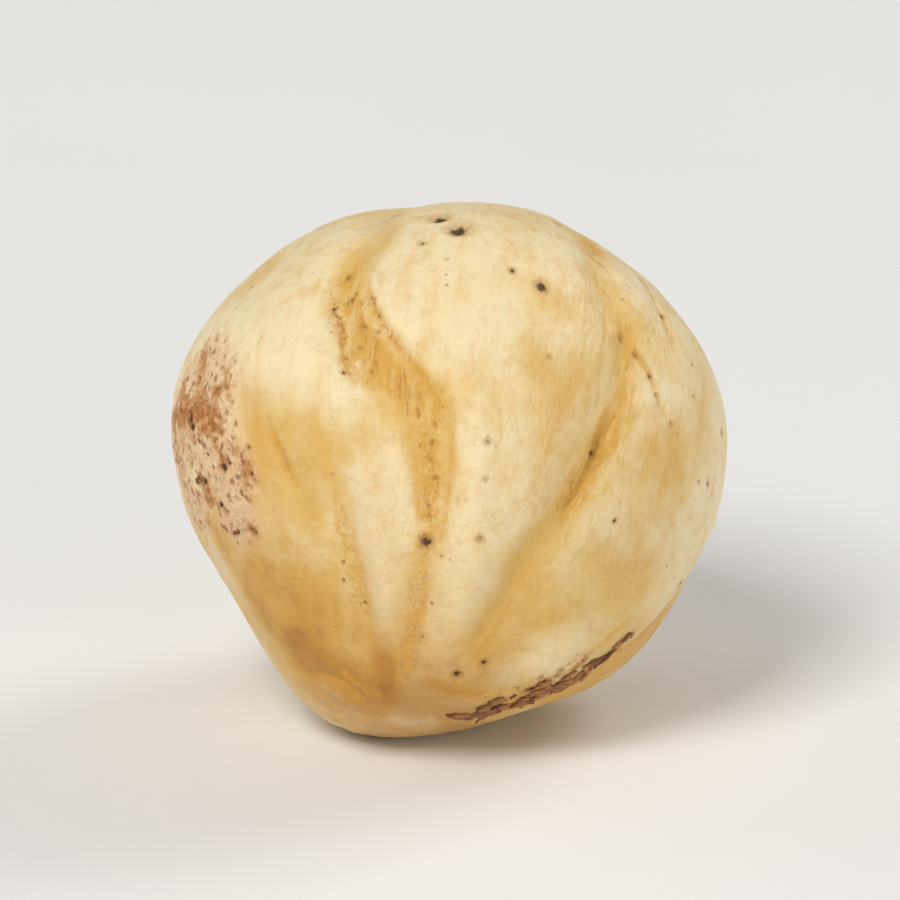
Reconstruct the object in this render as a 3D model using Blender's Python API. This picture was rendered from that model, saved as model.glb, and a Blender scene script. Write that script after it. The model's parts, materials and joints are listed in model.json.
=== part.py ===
"""Hazelnut kernel, shelled and skinned: one solid seed that rests on a small flat spot.

The form starts as a finely divided cube that is blown up into a ball.  Each point
of the ball is then set at its own distance from the middle.  Broad soft facets
give the body.  Furrows run over it from the foot, low at the front, towards the
crown, high at the back, where creases meet in a low pointed tip.

Metres, +Z up.  The origin is on the resting surface, under the middle of the box.
"""
import math
from collections import namedtuple

import bmesh
import bpy
from mathutils import Vector
from mathutils.geometry import intersect_point_line

# Overall size, with the flat spot already taken off
WIDTH = 0.0144
DEPTH = 0.0141
HEIGHT = 0.0138

# How far the flat spot cuts into the round underside
REST_SINK = 0.00020

# Squares along each side of the cube that becomes the ball
SQUARES = 24

# Points nearer than this are joined along the rim of the flat spot
JOIN_WITHIN = 0.00004

# Where the foot is: degrees round +Z from +X, and degrees above the horizon.
# The crown is at the opposite end of the same axis.
FOOT_TURN = -100.0
FOOT_LIFT = -44.0

# Radius of the round body before it is fitted to its overall size
BODY_RADIUS = 0.0072

# Facets of the body: which way each one faces, and its distance from the middle
# as a share of the body's radius
Facet = namedtuple("Facet", "turn lift reach")
FACETS = (
    Facet(turn=-168, lift=-31, reach=0.912),
    Facet(turn=-14, lift=-36, reach=0.985),
    Facet(turn=-45, lift=-64, reach=0.985),
    Facet(turn=84, lift=67, reach=0.895),
    Facet(turn=20, lift=44, reach=0.975),
    Facet(turn=155, lift=51, reach=0.980),
    Facet(turn=-42, lift=14, reach=0.975),
    Facet(turn=-64, lift=-22, reach=0.965),
    Facet(turn=-126, lift=-8, reach=0.965),
    Facet(turn=58, lift=30, reach=0.945),
    Facet(turn=52, lift=-26, reach=0.945),
    Facet(turn=112, lift=-12, reach=0.935),
    Facet(turn=140, lift=18, reach=0.955),
    Facet(turn=150, lift=-56, reach=0.950),
    Facet(turn=100, lift=-88, reach=0.960),
)

# Power at which the facets meet: higher gives crisper edges
FACET_CRISPNESS = 12

# Swells of the body: where each one is, how far it rises in metres, and how wide
# it spreads in degrees
Swell = namedtuple("Swell", "turn lift rise spread")
SWELLS = (
    Swell(turn=-149, lift=-56, rise=0.00044, spread=22),
    Swell(turn=171, lift=24, rise=0.00018, spread=20),
    Swell(turn=-140, lift=40, rise=0.00012, spread=18),
    Swell(turn=-88, lift=56, rise=0.00012, spread=20),
    Swell(turn=-34, lift=20, rise=0.00010, spread=22),
    Swell(turn=-64, lift=-27, rise=0.00014, spread=12),
    Swell(turn=-175, lift=-14, rise=0.00016, spread=14),
    Swell(turn=-22, lift=-42, rise=0.00022, spread=17),
)

# Furrows: each follows points given as (degrees from the foot, degrees round the
# axis, 0 facing the front and growing to the left), with its depth and half width
Furrow = namedtuple("Furrow", "depth half_width path")
FURROWS = (
    Furrow(0.00036, 0.00056, ((12, 6), (28, -5), (44, -7), (61, -6), (71, -3), (77, 3), (85, 10), (94, 15),
                              (105, 17), (116, 16), (131, 18), (150, 14), (168, 4))),
    Furrow(0.00024, 0.00052, ((20, -36), (34, -36), (46, -39), (58, -41), (72, -44), (82, -46), (91, -47),
                              (99, -46), (107, -41), (122, -40), (140, -44), (162, -49))),
    Furrow(0.00010, 0.00036, ((46, 27), (57, 29), (66, 31), (80, 34))),
    Furrow(0.00012, 0.00040, ((10, 30), (26, 16), (44, 16), (61, 17), (74, 19))),
    Furrow(0.00016, 0.00060, ((30, -100), (62, -107), (98, -107), (140, -98))),
    Furrow(0.00020, 0.00060, ((20, -136), (52, -143), (90, -137), (146, -132))),
    Furrow(0.00014, 0.00060, ((76, -168), (104, -163), (146, -170))),
    Furrow(0.00022, 0.00060, ((24, 146), (58, 138), (94, 144), (148, 139))),
    Furrow(0.00014, 0.00060, ((50, 100), (80, 105), (128, 93))),
)

# Share of a furrow's length over which each end fades out, and the steps that its
# smooth curve takes between two of its points
FURROW_END_SHARE = 0.26
FURROW_STEPS = 8

# Each furrow lies in a broader, shallower valley of its own
VALLEY_SHARE = 0.40
VALLEY_SPREAD = 2.8

# Tip on the crown, with the creases that meet there
TIP_HEIGHT = 0.00050
TIP_RADIUS = 0.0012
CREASES = 7
CREASE_DEPTH = 0.00009
CREASE_RING = 0.0021
CREASE_SPREAD = 0.0010

# Shallow scar round the foot
SCAR_DEPTH = 0.00016
SCAR_RADIUS = 0.0010

# Skinned seed: colour and finish
FLESH_COLOUR = (0.80, 0.55, 0.25, 1.0)
FLESH_ROUGHNESS = 0.5


def facing(turn, lift):
    """Unit vector for a direction given in degrees."""
    turn, lift = math.radians(turn), math.radians(lift)
    flat = math.cos(lift)
    return Vector((flat * math.cos(turn), flat * math.sin(turn), math.sin(lift)))


def seed_axes():
    """Direction of the foot, of the front across the axis, and of the left."""
    foot = facing(FOOT_TURN, FOOT_LIFT)
    up_front = facing(FOOT_TURN, FOOT_LIFT + 90.0)
    return foot, up_front, foot.cross(up_front)


def place_on_seed(direction, axes):
    """Degrees from the foot and degrees round the axis of a direction."""
    foot, front, left = axes
    from_foot = math.degrees(direction.angle(foot))
    around = math.degrees(math.atan2(direction.dot(left), direction.dot(front)))
    return from_foot, around


def seed_direction(from_foot, around, axes):
    """Unit vector for a place on the seed, the other way about."""
    foot, front, left = axes
    away, turn = math.radians(from_foot), math.radians(around)
    across = front * math.cos(turn) + left * math.sin(turn)
    return foot * math.cos(away) + across * math.sin(away)


def body_reach(direction, facet_normals):
    """Distance to the body's surface, as a share of its radius."""
    total = 1.0
    for facet, normal in facet_normals:
        towards = direction.dot(normal)
        if towards > 0.0:
            total += (towards / facet.reach) ** FACET_CRISPNESS
    return total ** (-1.0 / FACET_CRISPNESS)


def swell_height(direction, swell_centres):
    """Height that the swells add to the body."""
    total = 0.0
    for swell, centre in swell_centres:
        away = math.degrees(direction.angle(centre))
        total += swell.rise * math.exp(-(away / swell.spread) ** 2)
    return total


def smooth_step(value):
    """Rise from 0 to 1 with level ends."""
    value = min(1.0, max(0.0, value))
    return value * value * (3.0 - 2.0 * value)


def smooth_path(path, axes):
    """Directions along a smooth curve through a furrow's own points."""
    ends = [path[0], *path, path[-1]]
    curve = []
    for before, start, end, after in zip(ends, ends[1:], ends[2:], ends[3:]):
        for step in range(FURROW_STEPS):
            share = step / FURROW_STEPS
            place = [curve_value(*parts, share) for parts in zip(before, start, end, after)]
            curve.append(seed_direction(*place, axes))
    curve.append(seed_direction(*path[-1], axes))
    return curve


def curve_value(before, start, end, after, share):
    """Catmull-Rom value between start and end."""
    leave, arrive = (end - before) / 2.0, (after - start) / 2.0
    rest = end - start
    bend = leave + arrive - 2.0 * rest
    return start + share * (leave + share * ((3.0 * rest - 2.0 * leave - arrive) + share * bend))


def nearest_on_path(direction, curve):
    """Distance from a furrow's curve, and how far along it that is, as a share."""
    places = []
    for index, (start, end) in enumerate(zip(curve, curve[1:])):
        share = intersect_point_line(direction, start, end)[1]
        share = min(1.0, max(0.0, share))
        gap = (direction - start.lerp(end, share)).length
        places.append((gap, (index + share) / (len(curve) - 1)))
    nearest, along = min(places)
    return nearest * BODY_RADIUS, along


def furrow_depth(furrow, curve, direction):
    """Depth of one furrow, and of its valley, in one direction."""
    aside, along = nearest_on_path(direction, curve)
    fade = smooth_step(min(along, 1.0 - along) / FURROW_END_SHARE)
    groove = math.exp(-(aside / furrow.half_width) ** 2)
    valley = VALLEY_SHARE * math.exp(-(aside / (furrow.half_width * VALLEY_SPREAD)) ** 2)
    return furrow.depth * fade * (groove + valley)


def crown_height(from_foot, around):
    """Height of the tip, less the creases that run out from it."""
    away = math.radians(180.0 - from_foot) * BODY_RADIUS
    tip = TIP_HEIGHT * math.exp(-away / TIP_RADIUS)
    ring = math.exp(-((away - CREASE_RING) / CREASE_SPREAD) ** 2)
    crease = 0.5 + 0.5 * math.cos(math.radians(CREASES * around))
    return tip - CREASE_DEPTH * ring * crease


def scar_depth(from_foot):
    """Depth of the scar round the foot."""
    away = math.radians(from_foot) * BODY_RADIUS
    return SCAR_DEPTH * math.exp(-(away / SCAR_RADIUS) ** 4)


def shaped_point(direction, axes, facet_normals, swell_centres, furrow_curves):
    """Place of the surface in one direction from the middle."""
    from_foot, around = place_on_seed(direction, axes)
    distance = BODY_RADIUS * body_reach(direction, facet_normals)
    distance += swell_height(direction, swell_centres)
    for furrow, curve in furrow_curves:
        distance -= furrow_depth(furrow, curve, direction)
    distance += crown_height(from_foot, around) - scar_depth(from_foot)
    return direction * distance


def make_ball():
    """Cube divided into squares and blown up into an even ball of radius 1."""
    ball = bmesh.new()
    bmesh.ops.create_cube(ball, size=2.0)
    bmesh.ops.subdivide_edges(ball, edges=ball.edges[:], cuts=SQUARES - 1, use_grid_fill=True)
    for vert in ball.verts:
        spread = [math.tan(part * math.pi / 4.0) for part in vert.co]
        vert.co = Vector(spread).normalized()
    return ball


def fit_to_size(seed):
    """Stretch the seed to its overall size and stand it over the origin."""
    sizes = (WIDTH, DEPTH, HEIGHT + REST_SINK)
    for axis, size in enumerate(sizes):
        low = min(vert.co[axis] for vert in seed.verts)
        high = max(vert.co[axis] for vert in seed.verts)
        centre = (low + high) / 2.0
        for vert in seed.verts:
            vert.co[axis] = (vert.co[axis] - centre) * size / (high - low)
    for vert in seed.verts:
        vert.co.z += sizes[2] / 2.0 - REST_SINK


def cut_rest(seed):
    """Cut the flat spot at the resting surface and close it with one face."""
    whole = seed.verts[:] + seed.edges[:] + seed.faces[:]
    bmesh.ops.bisect_plane(seed, geom=whole, plane_co=(0, 0, 0), plane_no=(0, 0, 1), clear_inner=True)
    rim = [edge for edge in seed.edges if edge.is_boundary]
    bmesh.ops.holes_fill(seed, edges=rim, sides=0)
    bmesh.ops.remove_doubles(seed, verts=seed.verts[:], dist=JOIN_WITHIN)
    rest = max(seed.faces, key=lambda face: len(face.verts))
    for vert in rest.verts:
        vert.co.z = 0.0


def make_material():
    """Skinned hazelnut: pale golden and softly satin."""
    material = bpy.data.materials.new("nut_flesh")
    material.use_nodes = True
    shader = material.node_tree.nodes["Principled BSDF"]
    shader.inputs["Base Color"].default_value = FLESH_COLOUR
    shader.inputs["Roughness"].default_value = FLESH_ROUGHNESS
    shader.inputs["Metallic"].default_value = 0.0
    return material


def make_kernel(collection):
    """The whole seed, as one closed solid."""
    axes = seed_axes()
    facet_normals = [(facet, facing(facet.turn, facet.lift)) for facet in FACETS]
    swell_centres = [(swell, facing(swell.turn, swell.lift)) for swell in SWELLS]
    furrow_curves = [(furrow, smooth_path(furrow.path, axes)) for furrow in FURROWS]
    seed = make_ball()
    for vert in seed.verts:
        vert.co = shaped_point(vert.co, axes, facet_normals, swell_centres, furrow_curves)
    fit_to_size(seed)
    cut_rest(seed)
    bmesh.ops.recalc_face_normals(seed, faces=seed.faces[:])
    mesh = bpy.data.meshes.new("kernel")
    seed.to_mesh(mesh)
    seed.free()
    mesh.shade_smooth()
    mesh.materials.append(make_material())
    kernel = bpy.data.objects.new("kernel", mesh)
    collection.objects.link(kernel)
    return kernel


def main():
    """Clear the scene and build the hazelnut."""
    for old in list(bpy.data.objects):
        bpy.data.objects.remove(old, do_unlink=True)
    collection = bpy.data.collections.new("hazelnut")
    bpy.context.scene.collection.children.link(collection)
    make_kernel(collection)


main()
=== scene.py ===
"""Looks of one shelled, skinned hazelnut, laid out as a Blender add-on and run as a script.

The solid kernel gives the body, its furrows and its size.  A refined copy of it gets
the fine relief of nut flesh: soft dents, creases, pin-holes and a rough scar.  Scraps
of the papery brown skin cling to it as a piece of their own.

Places on the side that faces the camera are given in millimetres across and up from
the middle of the nut as the camera sees it.  Places elsewhere are given on the seed:
degrees from its foot, and degrees round its axis.
"""
import json
import math
import random
from collections import namedtuple

import bpy
import numpy as np
from bpy.props import FloatProperty, FloatVectorProperty, IntProperty, PointerProperty
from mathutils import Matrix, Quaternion, Vector, noise
from mathutils.bvhtree import BVHTree

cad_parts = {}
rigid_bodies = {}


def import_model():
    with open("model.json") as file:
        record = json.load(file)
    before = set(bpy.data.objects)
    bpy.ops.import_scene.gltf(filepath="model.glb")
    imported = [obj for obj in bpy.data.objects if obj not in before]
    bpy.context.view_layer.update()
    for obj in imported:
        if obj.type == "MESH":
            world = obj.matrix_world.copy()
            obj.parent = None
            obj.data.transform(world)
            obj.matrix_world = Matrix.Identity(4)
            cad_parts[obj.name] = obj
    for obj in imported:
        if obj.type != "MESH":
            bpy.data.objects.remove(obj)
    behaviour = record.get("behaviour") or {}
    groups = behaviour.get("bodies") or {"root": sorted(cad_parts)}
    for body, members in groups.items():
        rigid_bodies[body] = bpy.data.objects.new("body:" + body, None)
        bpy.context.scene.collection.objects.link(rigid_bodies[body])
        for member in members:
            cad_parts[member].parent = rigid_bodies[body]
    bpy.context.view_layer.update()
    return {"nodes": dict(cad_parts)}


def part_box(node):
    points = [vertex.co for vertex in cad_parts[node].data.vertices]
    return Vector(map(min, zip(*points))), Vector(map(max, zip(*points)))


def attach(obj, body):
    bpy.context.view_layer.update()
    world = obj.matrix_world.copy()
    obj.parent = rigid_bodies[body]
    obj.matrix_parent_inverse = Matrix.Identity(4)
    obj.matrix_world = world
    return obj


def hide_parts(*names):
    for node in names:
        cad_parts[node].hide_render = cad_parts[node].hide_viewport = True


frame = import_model()

bl_info = {
    "name": "Skinned Hazelnut",
    "version": (1, 0, 0),
    "blender": (4, 5, 0),
    "location": "View3D > Sidebar > Hazelnut",
    "description": "Finishes the kernel of a skinned hazelnut around its solid model",
    "category": "Object",
}

MM = 0.001

# The seed's own axis, as in its solid: degrees round +Z from +X, and above the horizon,
# and the height of its own middle above the resting surface, in mm
FOOT_TURN = -100.0
FOOT_LIFT = -44.0
HEART_HEIGHT = 6.67

# Height of the camera above the horizon, in degrees
VIEW_LIFT = 19.0

# Pin-holes on the front: mm across, up and radius, and how dark each one is
Pinhole = namedtuple("Pinhole", "across up radius mark", defaults=(1.0,))
FRONT_PINHOLES = [Pinhole(*numbers) for numbers in (
    (-0.25, 6.42, 0.22), (0.2, 6.13, 0.26), (-0.7, 5.77, 0.12, 0.6), (1.58, 5.08, 0.11, 0.8),
    (2.32, 4.66, 0.17), (0.94, 0.74, 0.12, 0.5), (0.88, -0.19, 0.1, 0.4), (0.74, -1.66, 0.12, 0.5),
    (-0.6, -1.8, 0.17), (5.9, -2.96, 0.13), (5.46, 3.97, 0.1, 0.7), (2.75, 6.3, 0.11, 0.8),
    (2.51, 2.88, 0.09, 0.5), (4.34, 3.33, 0.1, 0.5), (4.72, 2.93, 0.11, 0.5), (5.1, 2.4, 0.11, 0.6),
    (5.25, 1.93, 0.09, 0.5), (5.6, 1.19, 0.09, 0.5), (3.62, 0.45, 0.1, 0.8), (-2.57, 4.9, 0.08, 0.7),
    (-2.93, 4.14, 0.09, 0.7), (-1.79, 3.5, 0.08, 0.6), (-2.68, 2.5, 0.08, 0.7), (-5.78, 0.08, 0.13),
    (-5.04, -0.07, 0.09, 0.9), (-6.6, 1.1, 0.13), (-5.56, -1.62, 0.09, 0.9),
    (-4.97, -1.6, 0.08, 0.8), (-6.3, -0.3, 0.11), (-5.85, -0.88, 0.1), (-5.1, 0.6, 0.08, 0.8),
    (-5.95, 2.1, 0.08, 0.8), (-5.45, 1.2, 0.08, 0.8),
)]

# Lines on the nut: a strength, a half width in mm, and the points that the line runs
# through.  On the front the points are in mm across and up.  On the other sides they
# are degrees from the foot and degrees round the seed.
Line = namedtuple("Line", "strength half_width path")


def as_lines(*rows):
    """Lines from rows of numbers."""
    return [Line(*row) for row in rows]


# Creases, with their depth in mm as strength
FRONT_CREASES = as_lines(
    (0.07, 0.16, ((-2.95, 4.9), (-3.0, 4.1), (-2.7, 3.36), (-2.55, 2.6), (-2.3, 1.95))),
    (0.085, 0.15, ((-2.1, 5.2), (-2.05, 4.4), (-1.62, 3.6), (-1.05, 2.8), (-0.45, 1.95), (-0.15, 0.8))),
    (0.06, 0.15, ((-4.54, 1.15), (-4.3, 0.45), (-4.1, 0.05), (-3.76, -0.64))),
    (0.05, 0.12, ((4.25, 3.45), (4.62, 3.05), (5.05, 2.5), (5.32, 1.8), (5.6, 1.19))),
    (0.075, 0.17, ((4.12, 1.6), (3.7, 0.45), (3.25, -0.44), (2.75, -1.2))),
    (0.045, 0.14, ((-2.6, -0.67), (-2.4, -2.0), (-2.1, -3.3), (-1.9, -4.46))),
    (0.045, 0.14, ((-0.45, -2.4), (-0.75, -3.6), (-1.25, -4.8))),
    (0.04, 0.13, ((1.75, -2.9), (1.1, -4.1), (0.45, -5.0))),
    (0.05, 0.14, ((-2.9, -4.9), (-2.4, -5.35), (-1.7, -5.7))),
    (0.04, 0.12, ((-0.95, 1.2), (-0.85, 0.1), (-0.8, -1.3))),
    (0.06, 0.15, ((0.05, 1.6), (0.0, 0.2), (-0.15, -1.1), (-0.4, -2.6))),
    (0.05, 0.3, ((2.1, -1.6), (1.6, -2.6), (1.05, -3.6), (0.5, -4.7))),
    (0.035, 0.11, ((3.95, 4.3), (3.9, 3.3), (3.8, 2.2), (3.6, 1.2))),
    (0.045, 0.11, ((-2.95, -3.0), (-2.88, -3.9), (-2.78, -4.9))),
    (0.04, 0.1, ((-2.45, -3.2), (-2.4, -3.9), (-2.32, -4.7))),
    (0.07, 0.14, ((-3.7, -5.15), (-3.1, -5.22), (-2.45, -5.55), (-2.1, -5.95))),
)

# Ridges, with their height in mm as strength
FRONT_RIDGES = as_lines(
    (0.15, 0.55, ((0.55, 3.8), (0.7, 1.5), (0.62, -0.6), (0.45, -2.3), (0.05, -4.0), (-0.35, -5.2))),
    (0.13, 0.36, ((-1.95, 0.2), (-1.78, -2.0), (-1.58, -3.3), (-1.5, -4.9))),
    (0.16, 0.55, ((1.3, -5.3), (2.4, -4.8), (3.7, -4.05))),
    (0.11, 0.2, ((-3.6, -5.45), (-3.05, -5.52), (-2.6, -5.8), (-2.35, -6.1))),
)

# Pale crests, partly painted highlight, with their share of the colour as strength
FRONT_PALE_AND_HIGHLIGHT = as_lines(
    (0.56, 0.5, ((0.6, 3.2), (0.75, 1.5), (0.7, -0.6), (0.5, -2.3), (0.1, -3.9), (-0.3, -5.0))),
    (0.62, 0.3, ((-1.9, -0.4), (-1.8, -1.8), (-1.68, -3.3), (-1.66, -4.7))),
    (1.15, 0.55, ((1.0, -5.4), (2.3, -4.85), (3.8, -4.0))),
    (0.9, 1.1, ((-4.6, 3.6), (-3.9, 3.1), (-3.1, 2.4))),
    (1.0, 1.2, ((-0.4, 5.6), (0.3, 4.6), (0.7, 3.2))),
    (0.42, 0.7, ((4.6, 5.1), (5.8, 3.7), (6.6, 1.9), (6.9, 0.2))),
    (1.0, 0.62, ((-0.6, 7.0), (-1.4, 6.6), (-2.0, 6.1), (-2.45, 5.45))),
    (0.6, 0.18, ((-3.5, -5.45), (-3.05, -5.52), (-2.65, -5.78))),
    (0.6, 0.26, ((-1.7, -6.25), (-1.0, -6.45), (-0.2, -6.35))),
)

# Golden stains in the furrows, with their share of the colour as strength
FRONT_STAINS = as_lines(
    (0.64, 0.34, ((-2.35, 5.55), (-2.52, 4.9), (-2.5, 4.14), (-2.15, 3.2), (-1.6, 2.5), (-0.85, 1.6))),
    (0.75, 0.56, ((-2.45, 3.7), (-1.9, 2.8), (-1.05, 2.15), (-0.55, 1.2))),
    (0.66, 0.42, ((-2.8, 4.2), (-2.62, 3.3), (-2.3, 2.5), (-1.7, 1.85))),
    (0.55, 0.4, ((-1.6, 2.9), (-0.9, 2.2), (-0.25, 1.6), (-0.2, 0.6))),
    (0.75, 0.34, ((-0.95, 2.1), (-0.52, 0.6), (-0.5, -0.6), (-0.58, -2.4))),
    (0.6, 0.34, ((-0.6, -1.2), (-0.83, -3.3), (-1.05, -4.7), (-1.4, -5.8))),
    (0.85, 0.34, ((4.25, 2.0), (3.75, 0.42), (3.26, -0.42), (2.5, -1.5))),
    # The narrow, strong line along the right furrow's bottom is partly painted shade
    (1.6, 0.11, ((3.98, 1.35), (3.62, 0.37), (3.23, -0.45), (2.75, -1.15))),
    (0.45, 0.34, ((4.0, 4.6), (4.5, 3.3), (4.5, 2.3), (4.0, 1.2))),
    (0.6, 0.13, ((4.34, 3.6), (4.72, 3.0), (5.05, 2.5), (5.3, 1.95))),
    (0.65, 0.16, ((-4.7, 1.6), (-4.22, 0.35), (-3.8, -0.6))),
    (0.45, 0.26, ((-3.1, 0.5), (-2.6, -1.9), (-2.05, -4.2))),
    (0.7, 0.34, ((-2.75, -4.7), (-2.1, -5.3), (-1.3, -5.7))),
    (0.28, 0.4, ((2.2, -1.7), (1.7, -2.6), (1.15, -3.6), (0.45, -4.8))),
)
SIDE_STAINS = as_lines(
    (0.6, 0.4, ((122, 17), (150, 14), (170, 4))),
    (0.55, 0.4, ((112, -40), (140, -44), (164, -49))),
    (0.6, 0.36, ((30, -100), (62, -107), (98, -107), (140, -98))),
    (0.9, 0.4, ((34, -140), (52, -143), (90, -137), (150, -132))),
    (0.65, 0.36, ((70, -168), (104, -163), (150, -170))),
    (0.9, 0.42, ((34, 143), (58, 138), (94, 144), (150, 139))),
    (0.65, 0.36, ((50, 100), (80, 105), (128, 93))),
)

# Broad warm tints, partly painted shade and warm bounce light, with their share of the colour as strength
FRONT_WARMTH_AND_SHADE = as_lines(
    (1.15, 1.6, ((-5.6, -1.2), (-4.6, -2.4), (-3.7, -3.7), (-2.6, -5.1))),
    (1.8, 1.05, ((-4.6, -3.4), (-3.6, -4.7), (-2.6, -5.4), (-0.8, -6.2))),
    (0.55, 0.9, ((-3.9, 2.0), (-3.4, 0.4), (-3.2, -1.6))),
    (0.62, 1.05, ((2.5, 4.2), (2.7, 1.6), (2.5, -0.5), (2.2, -2.2))),
    (0.56, 1.7, ((5.6, 2.2), (5.3, 0.3), (4.6, -1.8), (3.2, -3.0))),
    (0.75, 0.6, ((-0.7, -1.6), (-0.95, -3.6), (-1.3, -5.6))),
    (0.42, 0.7, ((2.6, -1.8), (1.9, -3.0), (1.1, -4.3), (0.4, -5.4))),
    (1.08, 1.0, ((-6.5, -0.4), (-5.9, -1.6), (-5.2, -2.9), (-4.4, -4.1), (-3.5, -5.3))),
    (1.25, 0.5, ((-1.78, -3.6), (-1.72, -4.5), (-1.62, -5.4), (-1.5, -6.4))),
    (2.2, 0.4, ((-1.7, -4.35), (-1.66, -5.0), (-1.6, -5.6), (-1.52, -6.15))),
    (0.62, 0.75, ((-5.6, 3.0), (-4.95, 1.4), (-4.75, -0.4), (-4.9, -2.2))),
    (0.5, 0.35, ((0.9, -4.7), (1.9, -4.0), (3.1, -3.3))),
    (1.1, 0.36, ((-1.0, -5.15), (-0.3, -5.45), (0.4, -5.65), (1.2, -5.75))),
    (0.5, 0.62, ((-2.3, 2.2), (-2.0, 0.6), (-1.85, -1.0), (-1.75, -2.6))),
)
SIDE_WARMTH = as_lines(
    (0.8, 1.6, ((20, -110), (70, -115), (130, -110))),
    (0.7, 1.8, ((20, 160), (70, 165), (120, 155))),
    (0.55, 1.3, ((40, 80), (80, 85), (120, 75))),
    (0.7, 1.2, ((60, -170), (100, -160), (150, -165))),
)

# Thin film of skin left on the flesh, with its share of the colour as strength
FRONT_FILM = as_lines(
    (1.15, 0.3, ((0.2, -6.36), (1.39, -6.06), (2.27, -5.73), (3.16, -5.38), (4.1, -4.66), (4.9, -4.1))),
    (0.55, 0.5, ((1.4, -5.8), (2.6, -5.25), (3.9, -4.5))),
    (0.76, 0.52, ((-7.3, 1.6), (-6.75, 1.5), (-6.2, 1.25), (-5.6, 0.95))),
    (0.34, 0.45, ((-6.2, 2.3), (-5.8, 1.8), (-5.6, 1.2))),
    (0.42, 0.3, ((-5.1, 0.9), (-5.2, 0.1), (-5.4, -0.7))),
    (0.36, 0.6, ((-6.6, -0.2), (-6.1, -0.8), (-5.7, -1.4))),
    (0.52, 0.15, ((-2.8, 5.0), (-2.92, 4.3), (-2.7, 3.5), (-2.62, 2.4))),
    (0.5, 0.13, ((-2.15, 4.9), (-1.8, 3.9), (-1.2, 3.0), (-0.4, 2.2))),
    (0.4, 0.3, ((-2.45, 4.8), (-2.25, 3.7), (-2.0, 2.7))),
)
SIDE_FILM = as_lines(
    (0.95, 0.3, ((60, -142), (74, -141), (86, -137))),
    (1.0, 0.34, ((60, 137), (78, 141), (90, 143))),
    (0.9, 0.22, ((120, -134), (134, -133))),
    (0.85, 0.3, ((164, 40), (166, 75), (167, 110))),
)

# Rough scar on the left, as patches in mm: across, up and radius
Patch = namedtuple("Patch", "across up radius")
SCAR_PATCHES = (
    Patch(-6.35, 1.9, 2.0),
    Patch(-6.0, 0.0, 1.75),
    Patch(-5.5, -1.2, 1.0),
    Patch(-6.95, 0.7, 1.6),
    Patch(-6.6, -0.8, 1.2),
)

# Lines along which scraps of skin cling: how many, their length in mm, and the points
# that each line runs through
Cling = namedtuple("Cling", "count length path")
FRONT_CLINGS = (
    Cling(24, 0.72, ((0.4, -6.3), (1.39, -6.02), (2.27, -5.69), (3.16, -5.36), (4.1, -4.66))),
    Cling(16, 0.42, ((1.1, -5.95), (2.2, -5.5), (3.3, -5.05), (4.7, -4.15))),
    Cling(4, 0.34, ((-6.75, 1.7), (-6.5, 1.2), (-6.1, 0.6))),
    Cling(4, 0.36, ((-6.3, -0.2), (-5.6, 0.1), (-5.2, -0.6), (-5.3, -1.5))),
)
SIDE_CLINGS = (
    Cling(6, 0.5, ((163, 40), (166, 110))),
    Cling(7, 0.7, ((62, 138), (88, 143))),
    Cling(5, 0.6, ((62, -142), (84, -138))),
    Cling(3, 0.45, ((121, -134), (133, -133))),
)

# Relief: how near two corners of the solid are joined, the depths of the creases round the
# tip and of the pit at its end, how rough a stain is beside the scar, and how high above the
# resting surface the relief is whole, so that the flat spot stays flat
JOIN_WITHIN = 0.002 * MM
CROWN_DEPTH = 0.11 * MM
TIP_PIT_DEPTH = 0.12 * MM
STAIN_ROUGHNESS = 0.45
FLAT_MARGIN = 0.5 * MM

# A pin-hole: its depth in radii, its raised rim's share of that, and the rim's place and
# half width in radii.  Past the last number, in radii, no pin-hole shows.
HOLE_DEPTH = 0.42
HOLE_RIM = 0.16
HOLE_RIM_AT = 1.7
HOLE_RIM_WIDTH = 0.5
HOLE_SHOWS = 4.0

# The mesh is finer where a crease is deeper than this, in mm, within this many radii of a
# pin-hole, where the scar is stronger than this, and this near the tip, in radians
FINE_CREASE = 0.012
FINE_PINHOLE = 2.2
FINE_SCAR = 0.3
FINE_TIP = 0.3

# Depth of a crease that shows its full colour, partly painted shade, in mm
DEEP_CREASE = 0.07

# Past this many half widths a line no longer shows
LINE_REACH = 2.6

# Keeps a step of no length from dividing by zero
TINY = 1e-18

# A scrap of skin: the radius of its middle, which is never torn away, as a share of the
# sheet's half side, and how far it lies off the flesh, waves, and strays from its line
SCRAP_CORE = 0.3
SCRAP_GAP = 0.006 * MM
SCRAP_WAVE = 0.03 * MM
SCRAP_STRAY = 0.2 * MM

# Soft square lights: degrees round +Z from +X and above the horizon, distance and size in
# metres, power in watts, and colour
Light = namedtuple("Light", "name turn lift distance size watts colour")
LIGHTS = (
    Light("key", -126.0, 49.0, 0.45, 0.18, 1.25, (1.0, 0.985, 0.96)),
    Light("fill", -54.0, 9.0, 0.6, 0.4, 1.0, (1.0, 0.99, 0.98)),
    Light("rim", 36.0, 38.0, 0.45, 0.2, 0.62, (1.0, 0.985, 0.97)),
    Light("edge", 152.0, 22.0, 0.45, 0.2, 0.24, (1.0, 0.985, 0.97)),
)

# Even light of the room, the floor's side in metres and the shade of its mottle, and how
# near the camera sees, in metres
ROOM_COLOUR = (1.0, 0.995, 0.985, 1.0)
ROOM_STRENGTH = 0.26
FLOOR_SIDE = 4.0
FLOOR_SHADE = 0.985
CAMERA_CLIP = 0.01

# Random draws, one seed each
SEED_PINHOLES = 11
SEED_CREASES = 23
SEED_DENTS = 5
SEED_SCRAPS = 31


def length_setting(label, note, size):
    """A length that a user may change, in metres."""
    return FloatProperty(name=label, description=note, default=size, unit="LENGTH", precision=6)


def count_setting(label, note, count):
    """A count that a user may change."""
    return IntProperty(name=label, description=note, default=count, min=0)


def colour_setting(label, note, colour):
    """A colour that a user may change."""
    return FloatVectorProperty(name=label, description=note, subtype="COLOR", size=4, default=(*colour, 1.0))


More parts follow.
